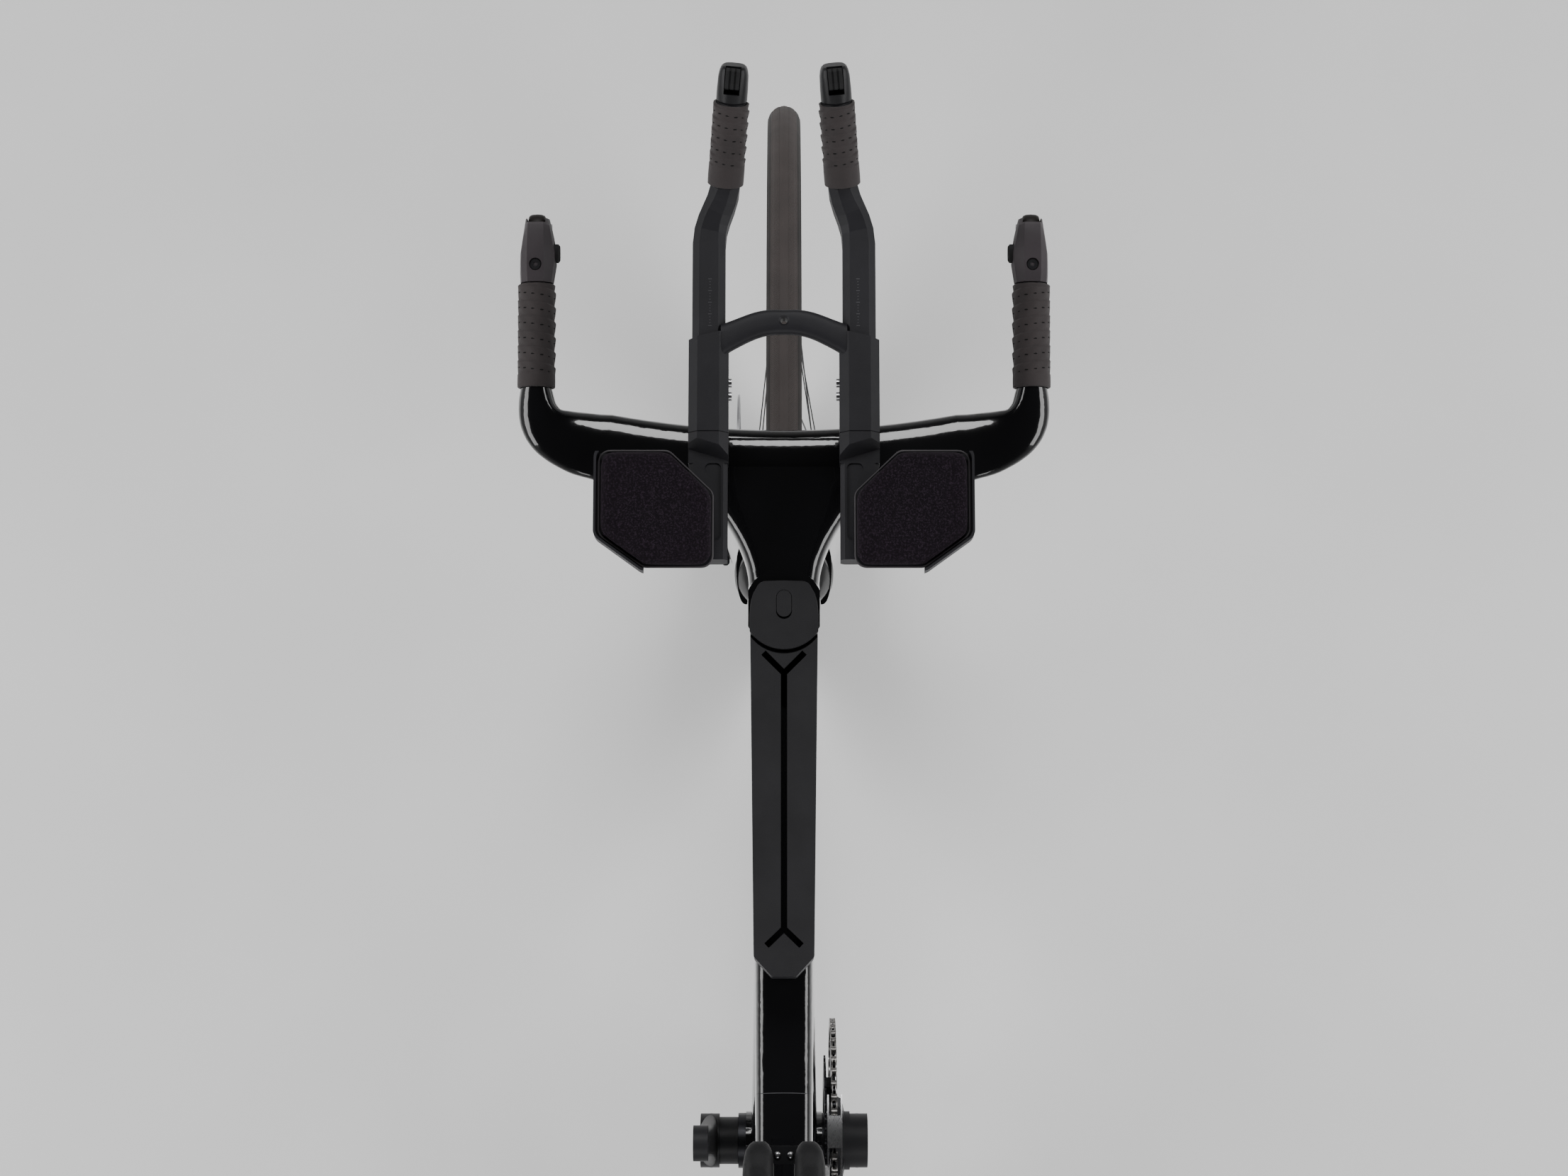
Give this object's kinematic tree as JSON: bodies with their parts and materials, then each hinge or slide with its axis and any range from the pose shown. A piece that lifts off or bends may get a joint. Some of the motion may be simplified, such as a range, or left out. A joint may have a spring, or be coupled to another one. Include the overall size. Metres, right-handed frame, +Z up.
{
  "type": "time trial bike",
  "caption": "Aero road bicycle with a low base bar, raised aero extensions with arm pads, deep rims, disc brakes and a storage box behind the stem.",
  "frame": {"origin": "on the ground under the midpoint of the wheelbase", "axes": "+X points forward, +Y to the rider's left, +Z up; the drive side is -Y"},
  "size_m": [1.672, 0.403, 0.9861],
  "materials": {
    "gloss_carbon": "gloss black clear-coated carbon",
    "matte_grey": "matte dark grey moulded carbon",
    "cap_rubber": "soft matte grey elastomer",
    "bar_tape": "dark warm grey perforated bar tape",
    "pad_fabric": "plum-black fine knit over foam",
    "saddle_cover": "matte black synthetic cover with fine ribs",
    "satin_plastic": "satin black moulding",
    "button_rubber": "ribbed black button rubber",
    "tyre_rubber": "brown-black tyre tread with fine hatch",
    "rim_carbon": "satin carbon rim",
    "spoke_steel": "black bladed spokes",
    "black_alloy": "black anodised",
    "steel": "bright steel",
    "rotor_steel": "ground steel braking track",
    "crank_grey": "matte grey crank"
  },
  "bodies": {
    "frame": {"frame_front_triangle": "gloss_carbon", "frame_rear_triangle": "gloss_carbon", "rear_thru_axle": "black_alloy", "bento_box": "matte_grey", "bento_lid": "cap_rubber", "seatpost_wedge": "gloss_carbon", "frame_bearings": "black_alloy", "fd_body": "satin_plastic", "rear_caliper": "black_alloy", "chain": "steel", "rd_b_knuckle": "satin_plastic"},
    "seatpost_group": {"seatpost": "gloss_carbon", "saddle_clamp": "black_alloy", "saddle_shell": "satin_plastic", "saddle_pads": "saddle_cover"},
    "steering": {"fork": "gloss_carbon", "front_caliper": "black_alloy", "front_thru_axle": "black_alloy", "base_bar": "gloss_carbon", "stem_cap": "cap_rubber", "basebar_grips": "bar_tape", "lever_bodies": "satin_plastic", "riser_pedestals": "matte_grey", "extension_bridge": "matte_grey", "armrest_cradles": "satin_plastic", "armrest_pads": "pad_fabric", "cockpit_bolts": "steel"},
    "front_wheel": {"front_tyre": "tyre_rubber", "front_rim": "rim_carbon", "front_spokes": "spoke_steel", "front_hub": "black_alloy", "front_rotor": "rotor_steel"},
    "rear_wheel": {"rear_tyre": "tyre_rubber", "rear_rim": "rim_carbon", "rear_spokes": "spoke_steel", "rear_hub": "black_alloy", "rear_rotor": "rotor_steel"},
    "cassette": {"cassette": "steel"},
    "crankset": {"drive_crank": "crank_grey", "left_crank": "crank_grey", "chainrings": "black_alloy"},
    "fd_cage": {"fd_cage": "steel"},
    "rd_outer_link": {"rd_outer_link": "black_alloy"},
    "rd_inner_link": {"rd_inner_link": "black_alloy"},
    "rd_p_knuckle": {"rd_p_knuckle": "satin_plastic"},
    "rd_cage": {"rd_cage": "black_alloy"},
    "guide_pulley": {"guide_pulley": "satin_plastic"},
    "tension_pulley": {"tension_pulley": "satin_plastic"},
    "extension_left": {"extension_bar_left": "matte_grey", "extension_grip_left": "bar_tape", "shifter_pod_left": "satin_plastic"},
    "brake_lever_left": {"brake_lever_left": "satin_plastic"},
    "basebar_shift_button_left": {"basebar_shift_button_left": "button_rubber"},
    "pod_button_left": {"pod_button_left": "button_rubber"},
    "extension_right": {"extension_bar_right": "matte_grey", "extension_grip_right": "bar_tape", "shifter_pod_right": "satin_plastic"},
    "brake_lever_right": {"brake_lever_right": "satin_plastic"},
    "basebar_shift_button_right": {"basebar_shift_button_right": "button_rubber"},
    "pod_button_right": {"pod_button_right": "button_rubber"}
  },
  "joints": [
    {"name": "steering", "type": "hinge", "parent": "frame", "child": "steering", "pos_m": [0.45504, 0, 0.32577], "axis": [-0.3007, 0, 0.9537], "range_deg": [-45, 45]},
    {"name": "front_wheel_spin", "type": "hinge", "parent": "steering", "child": "front_wheel", "pos_m": [0.497, 0, 0.339], "axis": [0, 1, 0], "continuous": true},
    {"name": "rear_wheel_spin", "type": "hinge", "parent": "frame", "child": "rear_wheel", "pos_m": [-0.497, 0, 0.339], "axis": [0, 1, 0], "continuous": true},
    {"name": "crank_spin", "type": "hinge", "parent": "frame", "child": "crankset", "pos_m": [-0.09337, 0, 0.267], "axis": [0, 1, 0], "continuous": true, "deforming": ["chain"]},
    {"name": "cassette_spin", "type": "hinge", "parent": "frame", "child": "cassette", "pos_m": [-0.497, 0, 0.339], "axis": [0, 1, 0], "continuous": true},
    {"name": "seatpost_height", "type": "slide", "parent": "frame", "child": "seatpost_group", "axis": [-0.1908, 0, 0.9816], "range_m": [-0.06, 0.04]},
    {"name": "fd_swing", "type": "hinge", "parent": "frame", "child": "fd_cage", "pos_m": [-0.11837, -0.0287, 0.43], "axis": [1, 0, 0], "range_deg": [0, 9], "deforming": ["chain"]},
    {"name": "rd_swing", "type": "hinge", "parent": "frame", "child": "rd_outer_link", "pos_m": [-0.556, -0.06755, 0.26099], "axis": [0, 0.5736, 0.8192], "range_deg": [-35.5, 29], "deforming": ["chain"]},
    {"name": "rd_inner_swing", "type": "hinge", "parent": "frame", "child": "rd_inner_link", "pos_m": [-0.556, -0.05445, 0.25182], "axis": [0, 0.5736, 0.8192], "range_deg": [-35.5, 29]},
    {"name": "rd_knuckle_swing", "type": "hinge", "parent": "rd_outer_link", "child": "rd_p_knuckle", "pos_m": [-0.511, -0.06755, 0.26099], "axis": [0, 0.5736, 0.8192], "range_deg": [-29, 35.5]},
    {"name": "rd_cage_pivot", "type": "hinge", "parent": "rd_p_knuckle", "child": "rd_cage", "pos_m": [-0.487, -0.0437, 0.2564], "axis": [0, 1, 0], "range_deg": [-20, 40], "stiffness_Nm_per_rad": 1, "deforming": ["chain"]},
    {"name": "guide_pulley_spin", "type": "hinge", "parent": "rd_cage", "child": "guide_pulley", "pos_m": [-0.487, -0.0437, 0.2564], "axis": [0, 1, 0], "continuous": true},
    {"name": "tension_pulley_spin", "type": "hinge", "parent": "rd_cage", "child": "tension_pulley", "pos_m": [-0.45543, -0.0437, 0.20775], "axis": [0, 1, 0], "continuous": true},
    {"name": "extension_reach_left", "type": "slide", "parent": "steering", "child": "extension_left", "axis": [1, 0, 0], "range_m": [-0.015, 0.02]},
    {"name": "brake_lever_pull_left", "type": "hinge", "parent": "steering", "child": "brake_lever_left", "pos_m": [0.59186, 0.186, 0.81992], "axis": [0, 1, 0], "range_deg": [0, 22], "stiffness_Nm_per_rad": 0.8, "springref_deg": -20.05},
    {"name": "shift_button_press_left", "type": "slide", "parent": "steering", "child": "basebar_shift_button_left", "axis": [0, 1, 0], "range_m": [0, 0.0012], "stiffness_N_per_m": 1500, "springref_m": -0.001},
    {"name": "pod_button_press_left", "type": "slide", "parent": "extension_left", "child": "pod_button_left", "axis": [0.569, -0.0556, -0.8204], "range_m": [0, 0.001], "stiffness_N_per_m": 1500, "springref_m": -0.001},
    {"name": "extension_reach_right", "type": "slide", "parent": "steering", "child": "extension_right", "axis": [1, 0, 0], "range_m": [-0.015, 0.02]},
    {"name": "brake_lever_pull_right", "type": "hinge", "parent": "steering", "child": "brake_lever_right", "pos_m": [0.59186, -0.186, 0.81992], "axis": [0, 1, 0], "range_deg": [0, 22], "stiffness_Nm_per_rad": 0.8, "springref_deg": -20.05},
    {"name": "shift_button_press_right", "type": "slide", "parent": "steering", "child": "basebar_shift_button_right", "axis": [0, -1, 0], "range_m": [0, 0.0012], "stiffness_N_per_m": 1500, "springref_m": -0.001},
    {"name": "pod_button_press_right", "type": "slide", "parent": "extension_right", "child": "pod_button_right", "axis": [0.569, 0.0556, -0.8204], "range_m": [0, 0.001], "stiffness_N_per_m": 1500, "springref_m": -0.001}
  ],
  "couplings": [
    {"joint": "cassette_spin", "follows": "crank_spin", "ratio": 3.0588},
    {"joint": "guide_pulley_spin", "follows": "crank_spin", "ratio": -4.7273},
    {"joint": "tension_pulley_spin", "follows": "crank_spin", "ratio": 4.7273},
    {"joint": "rd_inner_swing", "follows": "rd_swing", "ratio": 1},
    {"joint": "rd_knuckle_swing", "follows": "rd_swing", "ratio": -1}
  ]
}
